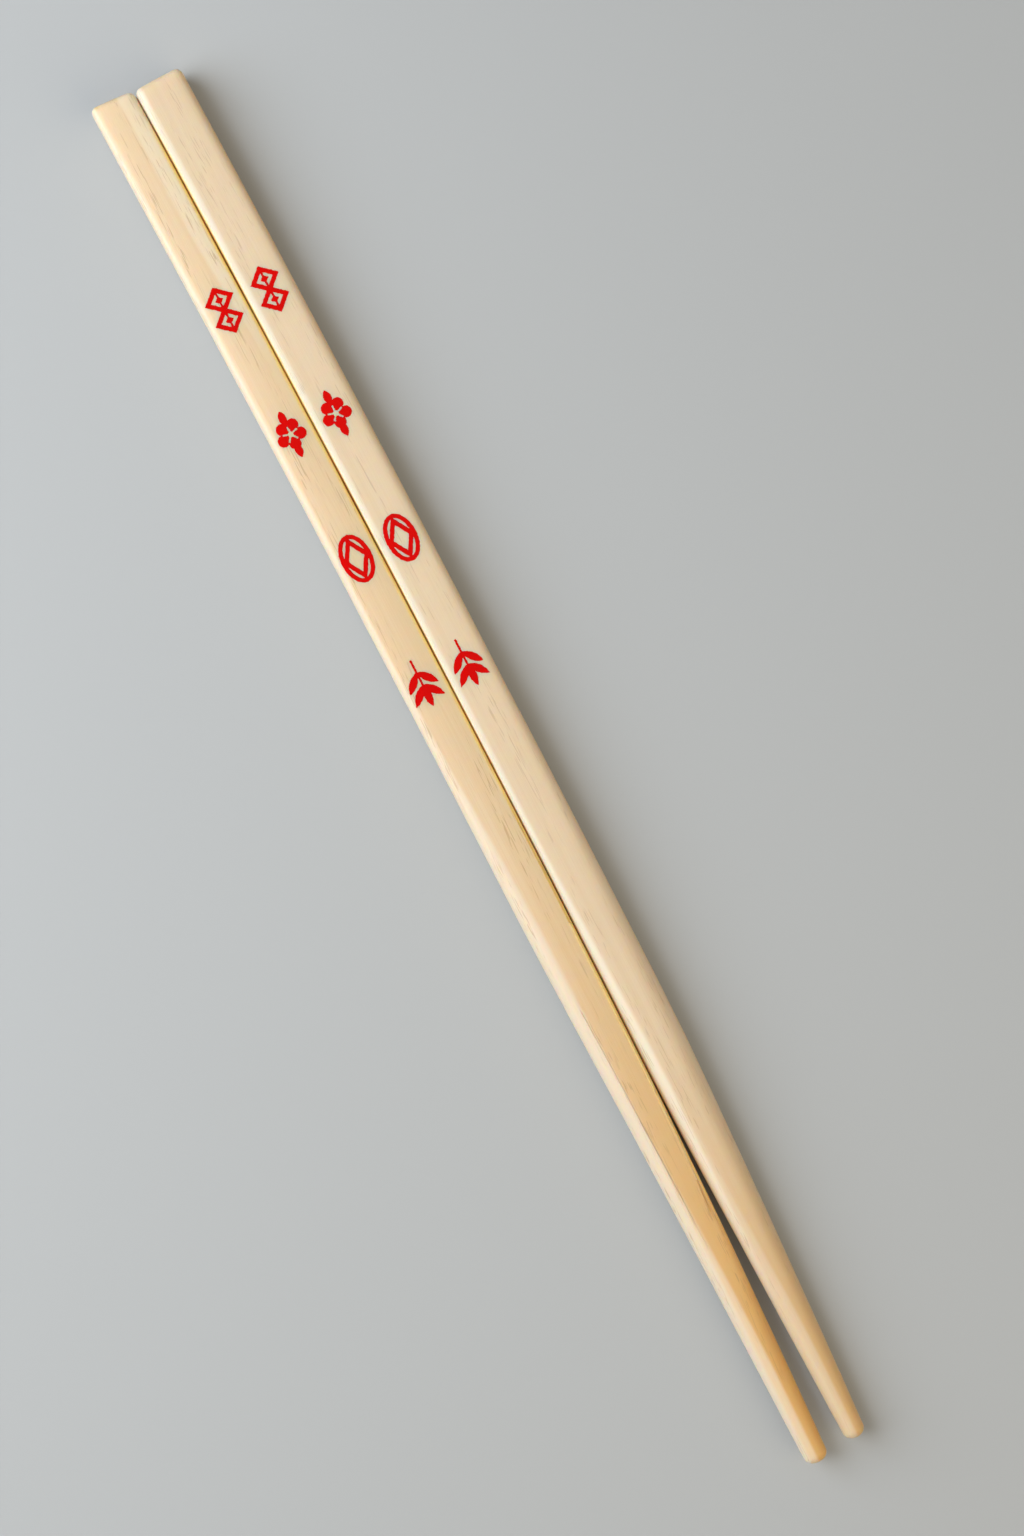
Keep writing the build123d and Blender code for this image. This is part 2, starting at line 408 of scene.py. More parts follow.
        count, around = across.shape
        number = np.arange(count * around).reshape(count, around)
        after = np.roll(number, -1, axis=1)
        walls = np.stack([number[:-1], number[1:], after[1:], after[:-1]], axis=-1).reshape(-1, 4)
        butt_pole = np.full(around, count * around)
        butt = np.stack([butt_pole, number[0], after[0]], axis=-1)
        tip = np.stack([butt_pole + 1, after[-1], number[-1]], axis=-1)
        return points, grain, ends, [walls, butt, tip]

    def build(self, shift: np.ndarray, material: bpy.types.Material) -> bpy.types.Object:
        """Makes the stick's piece, in the place of its CAD node.

        Args:
            shift: The move from the arc's own frame to the model's, in millimetres.
            material: The bamboo of this stick.

        Returns:
            The piece.
        """
        points, grain, ends, faces = self.skin()
        node = f"{self.name}_stick"
        piece = make_piece(f"{node}_bamboo", points + shift, faces, material)
        add_grain(piece, grain, ends)
        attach(piece, "root")
        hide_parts(node)
        return piece


def disc(radius: float) -> Shape:
    """Signed distance to a disc: the distance from its middle less its radius."""
    return lambda x, y: np.hypot(x, y) - radius


def oval(length: float, width: float) -> Shape:
    """Signed distance to an oval, to first order: its equation divided by the steepness of its equation.

    Args:
        length: The size along x.
        width: The size along y.

    Returns:
        The oval's field.
    """
    a, b = length / 2, width / 2

    def field(x: np.ndarray, y: np.ndarray) -> np.ndarray:
        """The oval's equation over the length of its gradient."""
        reach = np.hypot(x / a, y / b)
        return (reach - 1) * reach / np.maximum(np.hypot(x / a**2, y / b**2), 1e-9)

    return field


def lozenge(length: float, width: float) -> Shape:
    """Signed distance to a lozenge's sides: its long diagonal lies along x."""
    reach = math.hypot(length, width)
    return lambda x, y: (np.abs(x) * width + np.abs(y) * length - length * width / 2) / reach


def bar(length: float, width: float) -> Shape:
    """Signed distance to a rectangle: the larger of the distances past its ends and its sides."""
    return lambda x, y: np.maximum(np.abs(x) - length / 2, np.abs(y) - width / 2)


def leaf(length: float, width: float) -> Shape:
    """A leaf that grows along x from the origin: what two equal discs have in common.

    Args:
        length: The size along x.
        width: The size along y.

    Returns:
        The leaf's field.
    """
    radius = (length**2 + width**2) / (4 * width)
    rise = radius - width / 2
    return overlap(moved(disc(radius), length / 2, rise), moved(disc(radius), length / 2, -rise))


def moved(shape: Shape, along: float, across: float = 0.0, slant: float = 0.0) -> Shape:
    """A shape turned and then moved.

    Args:
        shape: The shape to move.
        along: How far it moves along x.
        across: How far it moves along y.
        slant: How far it turns first, in degrees.

    Returns:
        The moved shape's field.
    """
    cosine, sine = math.cos(math.radians(slant)), math.sin(math.radians(slant))

    def field(x: np.ndarray, y: np.ndarray) -> np.ndarray:
        """The shape read at the place that the move carries to x, y."""
        u, v = x - along, y - across
        return shape(u * cosine + v * sine, v * cosine - u * sine)

    return field


def joined(*shapes: Shape) -> Shape:
    """Everything that lies in any of the shapes: the least of their distances."""
    return lambda x, y: np.minimum.reduce([shape(x, y) for shape in shapes])


def overlap(*shapes: Shape) -> Shape:
    """Everything that lies in all of the shapes: the largest of their distances."""
    return lambda x, y: np.maximum.reduce([shape(x, y) for shape in shapes])


def without(shape: Shape, *holes: Shape) -> Shape:
    """A shape with holes: the larger of its distance and the holes' distances turned inside out."""
    hole = joined(*holes)
    return lambda x, y: np.maximum(shape(x, y), -hole(x, y))


def outline(shape: Shape, stroke: float) -> Shape:
    """The even stroke just inside a shape's edge."""
    return lambda x, y: np.maximum(shape(x, y), -shape(x, y) - stroke)


class Ornament(enum.Enum):
    """The four printed ornaments, in their order from the butt."""

    LOZENGE = "lozenge"
    BLOSSOM = "blossom"
    COIN = "coin"
    SPRIG = "sprig"


@dataclass(frozen=True)
class PrintStyle:
    """Sizes that all the red ornaments share, in millimetres."""

    start: float = 37.5
    pitch: float = 21.9
    length: float = 8.0
    width: float = 5.0
    stroke: float = 0.72
    lozenge_length: float = 4.5
    core_share: float = 0.28
    petals: int = 5
    petal_share: float = 0.62
    petal_slit: float = 0.28
    petal_join: float = 0.25
    blossom_eye: float = 0.45
    blossom_leaf_length: float = 2.5
    blossom_leaf_width: float = 1.25
    leaf_pairs: int = 2
    leaf_slant: float = 42.0
    leaf_width: float = 1.25
    cell: float = 0.055
    ink: float = 0.022
    ink_rim: float = 0.006
    rim_width: float = 0.1
    root: float = 0.02
    edge_play: float = 0.02
    edge_waves: int = 10
    edge_wave_lengths: tuple[float, float] = (0.3, 1.1)
    margin_cells: int = 3
    corner_passes: int = 4
    least_steepness: float = 0.25
    longest_slide: float = 0.9
    widest_angle: float = 0.7
    angle_samples: int = 6001

    def linked_lozenges(self) -> Shape:
        """Two lozenge outlines that meet, each around a small solid lozenge, threaded on a thin line.

        Returns:
            The drawing's field.
        """
        ring = outline(lozenge(self.lozenge_length, self.width), self.stroke)
        core = lozenge(self.lozenge_length * self.core_share, self.width * self.core_share)
        offset = (self.length - self.lozenge_length) / 2
        pair = [moved(shape, side * offset) for shape in (ring, core) for side in (-1, 1)]
        return joined(bar(self.length - self.stroke, self.stroke / 2), *pair)

    def blossom(self) -> Shape:
        """A flower of five petals around an open middle, with a leaf before and after it.

        The petals are discs on a circle. Slits run from the middle along the notches between them, and end a little
        before the notch.

        Returns:
            The drawing's field.
        """
        place = self.width / 2 / (1 + self.petal_share)
        radius = self.petal_share * place
        half_turn = math.pi / self.petals
        notch = place * math.cos(half_turn) + math.sqrt(radius**2 - (place * math.sin(half_turn)) ** 2)
        slit = moved(bar(notch - self.petal_join, self.petal_slit), (notch - self.petal_join) / 2)
        one = moved(disc(radius), place)
        foot = self.length / 2 - self.blossom_leaf_length
        green = moved(leaf(self.blossom_leaf_length, self.blossom_leaf_width), foot)
        turns = [360 * petal / self.petals for petal in range(self.petals)]
        solid = joined(
            disc(place), green, moved(green, 0.0, 0.0, 180.0), *(moved(one, 0.0, 0.0, turn) for turn in turns)
        )
        slits = [moved(slit, 0.0, 0.0, turn + 180 / self.petals) for turn in turns]
        return without(solid, disc(self.blossom_eye), *slits)

    def coin(self) -> Shape:
        """An oval ring with a lozenge outline inside that touches it.

        Returns:
            The drawing's field.
        """
        inner_length = self.length - 2 * self.stroke
        inner_width = self.width - 2 * self.stroke
        ring = without(oval(self.length, self.width), oval(inner_length, inner_width))
        inside = outline(lozenge(inner_length + self.stroke, inner_width + self.stroke), self.stroke)
        return joined(ring, inside)

    def sprig(self) -> Shape:
        """A stem with pairs of slanting leaves and one leaf at its end.

        Returns:
            The drawing's field.
        """
        leaf_length = self.width / 2 / math.sin(math.radians(self.leaf_slant))
        last_pair = self.length / 2 - leaf_length
        leafy_length = last_pair + self.length / 2
        stem_length = leafy_length + self.stroke
        shapes = [
            moved(bar(stem_length, self.stroke / 2), (stem_length - self.length) / 2),
            moved(leaf(leaf_length, self.leaf_width), last_pair),
        ]
        for pair in range(self.leaf_pairs):
            place = last_pair - pair * leafy_length / self.leaf_pairs
            for slant in (-self.leaf_slant, self.leaf_slant):
                shapes.append(moved(leaf(leaf_length, self.leaf_width), place, 0.0, slant))
        return joined(*shapes)

    def shape(self, ornament: Ornament) -> Shape:
        """The drawing of one ornament about its middle: x runs towards the tip, y to the right.

        Args:
            ornament: Which ornament.

        Returns:
            The drawing's field.
        """
        drawings = {
            Ornament.LOZENGE: self.linked_lozenges,
            Ornament.BLOSSOM: self.blossom,
            Ornament.COIN: self.coin,
            Ornament.SPRIG: self.sprig,
        }
        return drawings[ornament]()


@dataclass(frozen=True)
class InkPrint:
    """One red ornament: a thin closed film of ink that follows the stick's top face."""

    stick: Stick
    ornament: Ornament
    style: PrintStyle
    seed: int

    @property
    def place(self) -> float:
        """The distance of the ornament's middle from the butt."""
        return self.style.start + list(Ornament).index(self.ornament) * self.style.pitch

    def edge_noise(self, x: np.ndarray, y: np.ndarray) -> np.ndarray:
        """The small unevenness of the printed edge: a sum of short waves in all directions.

        Args:
            x: Places along the ornament.
            y: Places across it.

        Returns:
            What is added to the drawing's field, in millimetres.
        """
        chance = np.random.default_rng(self.seed)
        total = np.zeros_like(x)
        for _ in range(self.style.edge_waves):
            way, phase = chance.uniform(0, 2 * math.pi, 2)
            length = chance.uniform(*self.style.edge_wave_lengths)
            total += np.sin((x * math.cos(way) + y * math.sin(way)) * 2 * math.pi / length + phase)
        return total * self.style.edge_play * math.sqrt(2 / self.style.edge_waves)

    def film(self) -> tuple[np.ndarray, np.ndarray, np.ndarray, list[np.ndarray]]:
        """The ornament's film as a masked grid, with its outline drawn to the exact edge.

        The drawing is a field of signed distances on a fine grid. Cells whose middle lies inside are kept, with one
        more wherever two would touch at a corner only, and the vertices around them slide down the field's slope to
        its zero line.

        Returns:
            The places along and across of each vertex, its height off the skin, and the faces.
        """
        style = self.style
        step = style.cell
        before, after = style.margin_cells * step, (style.margin_cells + 0.5) * step
        columns = np.arange(-style.length / 2 - before, style.length / 2 + after, step)
        lines = np.arange(-style.width / 2 - before, style.width / 2 + after, step)
        x, y = np.meshgrid(columns, lines, indexing="ij")
        drawing = style.shape(self.ornament)
        field = drawing(x, y) + self.edge_noise(x, y)
        middle = (field[:-1, :-1] + field[1:, :-1] + field[:-1, 1:] + field[1:, 1:]) / 4
        kept = middle < 0
        for _ in range(style.corner_passes):
            rising = kept[:-1, :-1] & kept[1:, 1:] & ~kept[1:, :-1] & ~kept[:-1, 1:]
            falling = kept[1:, :-1] & kept[:-1, 1:] & ~kept[:-1, :-1] & ~kept[1:, 1:]
            kept[1:, :-1] |= rising
            kept[:-1, :-1] |= falling

        padded = np.pad(kept, 1)
        around = np.stack([padded[:-1, :-1], padded[1:, :-1], padded[:-1, 1:], padded[1:, 1:]])
        used, edge = around.any(0), around.any(0) & ~around.all(0)
        slope_x, slope_y = np.gradient(field, step)
        steep = np.maximum(slope_x**2 + slope_y**2, style.least_steepness)
        longest = style.longest_slide * step
        slide = np.clip(field / steep, -longest, longest) * edge
        x, y = x - slide * slope_x, y - slide * slope_y
        rise = smooth_step(-field / style.rim_width)
        rise = np.where(edge, style.ink_rim, style.ink_rim + (style.ink - style.ink_rim) * rise)

        number = np.cumsum(used.ravel()).reshape(used.shape) - 1
        count = int(used.sum())
        a, b, c, d = number[:-1, :-1], number[1:, :-1], number[1:, 1:], number[:-1, 1:]
        top = np.stack([a[kept], d[kept], c[kept], b[kept]], axis=-1)
        root = np.stack([a[kept], b[kept], c[kept], d[kept]], axis=-1) + count
        walls = []
        inner = padded[1:-1, 1:-1]
        for near, first, second in (
            (padded[:-2, 1:-1], a, d),
            (padded[2:, 1:-1], c, b),
            (padded[1:-1, :-2], b, a),
            (padded[1:-1, 2:], d, c),
        ):
            open_edge = inner & ~near
            one, two = first[open_edge], second[open_edge]
            walls.append(np.stack([one, one + count, two + count, two], axis=-1))
        along = np.tile(x[used], 2)
        across = np.tile(y[used], 2)
        lift = np.concatenate([rise[used], np.full(count, -style.root)])
        return along, across, lift, [top, root, *walls]

    def build(self, shift: np.ndarray, material: bpy.types.Material) -> bpy.types.Object:
        """Makes the print's piece, in the place of its CAD node.

        Args:
            shift: The move from the arc's own frame to the model's, in millimetres.
            material: The red ink.

        Returns:
            The piece.
        """
        along, across, lift, faces = self.film()
        fine = np.linspace(-self.style.widest_angle, self.style.widest_angle, self.style.angle_samples)
        reach, _ = self.stick.section(np.full_like(fine, self.place), fine)
        angle = np.interp(across, reach, fine)
        place = self.place + along
        side, up = self.stick.section(place, angle, lift=lift)
        node = f"{self.stick.name}_{self.ornament.value}_print"
        points = self.stick.bend(place, side, up) + shift
        piece = make_piece(f"{node}_ink", points, faces, material)
        add_grain(piece, np.stack([place, side, up], axis=-1))
        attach(piece, "root")
        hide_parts(node)
        return piece


@dataclass(frozen=True)
class NoiseTone:
    """How rough a noise is, and the range of it that is carried to 0 and 1."""

    detail: float
    roughness: float
    low: float = 0.0
    high: float = 1.0


FIBRE_TONE = NoiseTone(3.0, 0.62, 0.25, 0.75)
BAND_TONE = NoiseTone(1.0, 0.4, 0.3, 0.7)
FLECK_TONE = NoiseTone(0.0, 0.5)
PATCH_TONE = NoiseTone(1.0, 0.5, 0.46, 0.62)
SWAY_TONE = NoiseTone(1.0, 0.5)
PATCH_CELL = (26.0, 1.7)
SWAY_CELL = (24.0, 1000.0)
FLECK_EDGE = 0.09
PORE_EDGE = 0.16


@dataclass(frozen=True)
class NodeDesk:
    """Lays nodes in one tree and joins them."""

    tree: bpy.types.NodeTree

    def add(self, kind: str, feeds: dict[str | int, Feed] | None = None, **settings: object) -> bpy.types.Node:
        """Adds one node.

        Args:
            kind: The node's type name.
            feeds: Values for its inputs, or outputs of other nodes that are linked to them.
            settings: The node's own settings.

        Returns:
            The node.
        """
        node = self.tree.nodes.new(kind)
        for name, setting in settings.items():
            setattr(node, name, setting)
        for socket, feed in (feeds or {}).items():
            if isinstance(feed, bpy.types.NodeSocket):
                self.tree.links.new(feed, node.inputs[socket])
            else:
                node.inputs[socket].default_value = feed
        return node

    def math(self, operation: str, *values: Feed) -> bpy.types.NodeSocket:
        """The result of one Math node."""
        return self.add("ShaderNodeMath", dict(enumerate(values)), operation=operation).outputs[0]

    def remap(
        self, value: Feed, low: Feed, high: Feed, to_low: float = 0.0, to_high: float = 1.0
    ) -> bpy.types.NodeSocket:
        """A value carried softly from one range to another."""
        feeds = {"Value": value, "From Min": low, "From Max": high, "To Min": to_low, "To Max": to_high}
        return self.add("ShaderNodeMapRange", feeds, interpolation_type="SMOOTHSTEP").outputs[0]

    def mix(self, share: Feed, first: Feed, second: Colour) -> bpy.types.NodeSocket:
        """A colour mixed by a share into another."""
        return self.add("ShaderNodeMix", {0: share, 6: first, 7: (*second, 1.0)}, data_type="RGBA").outputs[2]

    def noise(self, vector: bpy.types.NodeSocket, tone: NoiseTone) -> bpy.types.NodeSocket:
        """Soft noise at a place given in cells."""
        feeds = {"Vector": vector, "Scale": 1.0, "Detail": tone.detail, "Roughness": tone.roughness}
        return self.add("ShaderNodeTexNoise", feeds).outputs[0]

    def toned(self, vector: bpy.types.NodeSocket, tone: NoiseTone) -> bpy.types.NodeSocket:
        """Soft noise carried from its tone's range to 0 and 1."""
        return self.remap(self.noise(vector, tone), tone.low, tone.high)


@dataclass(frozen=True)
class GrainSpace:
    """The straight blank's own axes, read from the stored attribute."""

    along: bpy.types.NodeSocket
    across: bpy.types.NodeSocket
    up: bpy.types.NodeSocket

    @classmethod
    def read(cls, desk: NodeDesk) -> "GrainSpace":
        """Reads the places that each vertex had in the straight blank.

        Args:
            desk: The desk of the tree that needs them.

        Returns:
            The three axes, in millimetres.
        """
        stored = desk.add("ShaderNodeAttribute", attribute_name=GRAIN_ATTRIBUTE)
        split = desk.add("ShaderNodeSeparateXYZ", {0: stored.outputs["Vector"]})
        return cls(split.outputs[0], split.outputs[1], split.outputs[2])

    def stretched(
        self, desk: NodeDesk, length: Feed, width: Feed, shift: Feed, lean: Feed = 0.0
    ) -> bpy.types.NodeSocket:
        """Places counted in long thin cells that may lean a little off the stick's line.

        Args:
            desk: The tree's desk.
            length: A cell's length along the stick.
            width: A cell's width.
            shift: How many cells the pattern is moved along.
            lean: How far a cell goes across for each millimetre along.

        Returns:
            The places.
        """
        leaned = desk.math("MULTIPLY_ADD", self.along, lean, self.across)
        cell = (
            desk.math("ADD", desk.math("DIVIDE", self.along, length), shift),
            desk.math("DIVIDE", leaned, width),
            desk.math("DIVIDE", self.up, width),
        )
        return desk.add("ShaderNodeCombineXYZ", dict(enumerate(cell))).outputs[0]


class BambooGroup(enum.Enum):
    """The shader groups that bamboo and the ink on it share, with their inputs and their usual values."""

    FIBRES = ("Bamboo fibres", (("Length", 34.0), ("Width", 0.3), ("Shift", 0.0)), ("Streaks",))
    BANDS = ("Culm bands", (("Length", 160.0), ("Width", 2.4), ("Shift", 0.0)), ("Bands",))
    # This group paints highlight and shade colour along one side of a stick.
    LAYER = (
        "Culm layer",
        (
            ("Side", 1.0), ("Near", 3.0), ("Far", 3.0), ("Start", 160.0), ("End", 225.0), ("Softness", 0.35),
            ("Rise", -2.0), ("Full", -1.0), ("Share", 1.0), ("Sway", 0.1), ("Shift", 0.0),
        ),
        ("Layer",),
    )
    FLECKS = (
        "Vascular flecks",
        (("Length", 3.0), ("Width", 0.16), ("Lean", 0.02), ("Rarity", 0.62), ("Shift", 0.0)),
        ("Flecks",),
    )
    ENDS = ("Sawn end", (("Pitch", 0.62), ("Pore", 0.2)), ("Pores", "Face"))


@dataclass(frozen=True)
class GroupShelf:
    """Builds each shared shader group once and places it in materials."""

    made: dict[BambooGroup, bpy.types.NodeTree]

    @classmethod
    def stock(cls) -> "GroupShelf":
        """Builds every group.

        Returns:
            The stocked shelf.
        """
        makers = {
            BambooGroup.FIBRES: cls.fibres,
            BambooGroup.BANDS: cls.bands,
            BambooGroup.LAYER: cls.layer,
            BambooGroup.FLECKS: cls.flecks,
            BambooGroup.ENDS: cls.ends,
        }
        made = {}
        for kind, maker in makers.items():
            title, inputs, outputs = kind.value
            tree = bpy.data.node_groups.new(title, "ShaderNodeTree")
            for name, usual in inputs:
                tree.interface.new_socket(name, in_out="INPUT", socket_type="NodeSocketFloat").default_value = usual
            for name in outputs:
                tree.interface.new_socket(name, in_out="OUTPUT", socket_type="NodeSocketFloat")
            desk = NodeDesk(tree)
            given = tree.nodes.new("NodeGroupInput").outputs
            results = maker(desk, given)
            desk.add("NodeGroupOutput", dict(zip(outputs, results, strict=True)))
            made[kind] = tree
        return cls(made)

    @staticmethod
    def fibres(desk: NodeDesk, given: bpy.types.NodeOutputs) -> list[bpy.types.NodeSocket]:
        """Fine streaks: noise in cells about a hundred times as long as they are wide.

        Args:
            desk: The group's desk.
            given: The group's inputs.

        Returns:
            The group's outputs, in their order.
        """
        space = GrainSpace.read(desk)
        cells = space.stretched(desk, given["Length"], given["Width"], given["Shift"])
        return [desk.toned(cells, FIBRE_TONE)]

    @staticmethod
    def bands(desk: NodeDesk, given: bpy.types.NodeOutputs) -> list[bpy.types.NodeSocket]:
        """Broad soft bands of tone along the stick: noise in cells a few millimetres wide.

        Args:
            desk: The group's desk.
            given: The group's inputs.

        Returns:
            The group's outputs, in their order.
        """
        space = GrainSpace.read(desk)
        cells = space.stretched(desk, given["Length"], given["Width"], given["Shift"])
        return [desk.toned(cells, BAND_TONE)]

    @staticmethod
    def layer(desk: NodeDesk, given: bpy.types.NodeOutputs) -> list[bpy.types.NodeSocket]:
        """Painted highlight and shade: a colour that shows along one side, past a wavering line, and may rise along
        the stick.

        Args:
            desk: The group's desk.
            given: The group's inputs.

        Returns:
            The group's outputs, in their order.
        """
        space = GrainSpace.read(desk)
        sway = desk.noise(space.stretched(desk, *SWAY_CELL, given["Shift"]), SWAY_TONE)
        reached = desk.remap(space.along, given["Start"], given["End"])
        move = desk.math("SUBTRACT", given["Far"], given["Near"])
        line = desk.math("MULTIPLY_ADD", reached, move, given["Near"])
        line = desk.math("MULTIPLY_ADD", desk.math("SUBTRACT", sway, 0.5), given["Sway"], line)
        outwards = desk.math("MULTIPLY", space.across, given["Side"])
        past = desk.math("DIVIDE", desk.math("SUBTRACT", outwards, line), given["Softness"])
        strength = desk.math("MULTIPLY", desk.remap(space.along, given["Rise"], given["Full"]), given["Share"])
        return [desk.math("MULTIPLY", desk.remap(past, -1.0, 1.0), strength)]

    @staticmethod
    def flecks(desk: NodeDesk, given: bpy.types.NodeOutputs) -> list[bpy.types.NodeSocket]:
        """Short dark flecks where cut vessels surface: the peaks of stretched noise, gathered in loose patches.

        Args:
            desk: The group's desk.
            given: The group's inputs.

        Returns:
            The group's outputs, in their order.
        """
        space = GrainSpace.read(desk)
        cells = space.stretched(desk, given["Length"], given["Width"], given["Shift"], given["Lean"])
        top = desk.math("ADD", given["Rarity"], FLECK_EDGE)
        peaks = desk.remap(desk.noise(cells, FLECK_TONE), given["Rarity"], top)
        patches = desk.toned(space.stretched(desk, *PATCH_CELL, given["Shift"]), PATCH_TONE)
        return [desk.math("MULTIPLY", peaks, patches)]

    @staticmethod
    def ends(desk: NodeDesk, given: bpy.types.NodeOutputs) -> list[bpy.types.NodeSocket]:
        """The sawn ends: dark pores where the fibre bundles stand on end.

        Args:
            desk: The group's desk.
            given: The group's inputs.

        Returns:
            The group's outputs, in their order.
        """
        space = GrainSpace.read(desk)
        face = desk.add("ShaderNodeAttribute", attribute_name=END_ATTRIBUTE).outputs["Fac"]
        cell = (0.0, desk.math("DIVIDE", space.across, given["Pitch"]), desk.math("DIVIDE", space.up, given["Pitch"]))
        place = desk.add("ShaderNodeCombineXYZ", dict(enumerate(cell))).outputs[0]
        near = desk.add("ShaderNodeTexVoronoi", {"Vector": place, "Scale": 1.0}).outputs["Distance"]
        pores = desk.remap(near, desk.math("ADD", given["Pore"], PORE_EDGE), given["Pore"])
        return [desk.math("MULTIPLY", pores, face), face]

    def place(self, desk: NodeDesk, kind: BambooGroup, **values: float) -> bpy.types.NodeOutputs:
        """Places a group in a material with its own values.

        Args:
            desk: The material's desk.
            kind: Which group.
            values: Its inputs by name, in lower case.

        Returns:
            The group's outputs.
        """
        node = desk.add("ShaderNodeGroup", node_tree=self.made[kind])
        for name, value in values.items():
            node.inputs[name.capitalize()].default_value = value
        return node.outputs


def new_material(name: str) -> tuple[bpy.types.Material, NodeDesk, bpy.types.Node]:
    """Makes a material that is one Principled shader.

    Args:
        name: The material's name.

    Returns:
        The material, the desk of its tree, and the shader.
    """
    material = bpy.data.materials.new(name)
    material.use_nodes = True
    material.node_tree.nodes.clear()
    desk = NodeDesk(material.node_tree)
    shader = desk.add("ShaderNodeBsdfPrincipled")
    desk.add("ShaderNodeOutputMaterial", {"Surface": shader.outputs[0]})
    return material, desk, shader


@dataclass(frozen=True)
class PaintedLight:
    """Painted highlight and shade along one side of a stick, past a line, in millimetres: paler on lit flanks, golden
    on shaded flanks, at the seam and on the tips' shaded halves.

    The line goes from near to far between start and end, and the painted colour rises from rise to full.
    """

    colour: Colour
    side: int
    near: float
    far: float
    start: float = 160.0
    end: float = 225.0
    softness: float = 0.35
    rise: float = -2.0
    full: float = -1.0
    share: float = 1.0
    sway: float = 0.1


@dataclass(frozen=True)
class BambooFinish:
    """Bare sanded bamboo: pale straw with soft bands, fine fibres, a few dark flecks, and painted highlight and shade
    along its sides.
    """

    name: str
    pale: Colour
    straw: Colour
    golden: Colour
    fleck: Colour
    pore: Colour
    seed: float
    layers: tuple[PaintedLight, ...]
    band_share: float
    streak_share: float
    fleck_share: float
    fleck_rarity: float
    fleck_lean: float
    roughness: float = 0.45
    roughness_play: float = 0.1
    gloss: float = 0.8
    glow: float = 0.8
    glow_reach: tuple[float, float, float] = (1.0, 0.5, 0.2)
    glow_depth: float = 0.0028
    relief: float = 0.35
    relief_depth: float = 0.00003
    fibre_shift: float = 3.1
    thread_shift: float = 7.7
    thread_length: float = 16.0
    thread_width: float = 0.11
    thread_share: float = 0.4
    fleck_shift: float = 1.7
    fleck_pit: float = 0.8
    end_share: float = 0.35
    pore_share: float = 0.55

    def build(self, shelf: GroupShelf) -> bpy.types.Material:
        """Builds the material: straw over pale by the tone, then the painted highlight and shade, the flecks and the
        sawn ends.

        Args:
            shelf: The shared groups.

        Returns:
            The material.
        """
        material, desk, shader = new_material(self.name)
        bands = shelf.place(desk, BambooGroup.BANDS, shift=self.seed)["Bands"]
        fibres = shelf.place(desk, BambooGroup.FIBRES, shift=self.seed + self.fibre_shift)["Streaks"]
        threads = shelf.place(
            desk, BambooGroup.FIBRES,
            length=self.thread_length, width=self.thread_width, shift=self.seed + self.thread_shift,
        )["Streaks"]
        flecks = shelf.place(
            desk, BambooGroup.FLECKS,
            lean=self.fleck_lean, rarity=self.fleck_rarity, shift=self.seed + self.fleck_shift,
        )["Flecks"]
        ends = shelf.place(desk, BambooGroup.ENDS)

        coarse = desk.math("MULTIPLY", fibres, 1 - self.thread_share)
        streaks = desk.math("MULTIPLY_ADD", threads, self.thread_share, coarse)
        middle = 0.5 - (self.band_share + self.streak_share) / 2
        tone = desk.math("MULTIPLY_ADD", streaks, self.streak_share, middle)
        tone = desk.math("MULTIPLY_ADD", bands, self.band_share, tone)
        colour = desk.mix(tone, (*self.pale, 1.0), self.straw)
        # Painted light and shade: paler flanks stand in for highlights, golden ones for shade.
        for layer in self.layers:
            values = {name: value for name, value in vars(layer).items() if name != "colour"}
            painted_mask = shelf.place(desk, BambooGroup.LAYER, shift=self.seed, **values)["Layer"]
            colour = desk.mix(painted_mask, colour, layer.colour)
        colour = desk.mix(desk.math("MULTIPLY", flecks, self.fleck_share), colour, self.fleck)
        colour = desk.mix(desk.math("MULTIPLY", ends["Face"], self.end_share), colour, self.golden)
        colour = desk.mix(desk.math("MULTIPLY", ends["Pores"], self.pore_share), colour, self.pore)
        desk.tree.links.new(colour, shader.inputs["Base Color"])

        low, high = self.roughness - self.roughness_play / 2, self.roughness + self.roughness_play / 2
        desk.tree.links.new(desk.remap(streaks, 0.0, 1.0, low, high), shader.inputs["Roughness"])
        height = desk.math("SUBTRACT", streaks, desk.math("MULTIPLY", flecks, self.fleck_pit))
        height = desk.math("SUBTRACT", height, ends["Pores"])
        bump = desk.add("ShaderNodeBump", {"Strength": self.relief, "Distance": self.relief_depth, "Height": height})
        desk.tree.links.new(bump.outputs[0], shader.inputs["Normal"])
        shader.inputs["Specular IOR Level"].default_value = self.gloss
        shader.inputs["Subsurface Weight"].default_value = self.glow
        shader.inputs["Subsurface Radius"].default_value = self.glow_reach
        shader.inputs["Subsurface Scale"].default_value = self.glow_depth
        return material


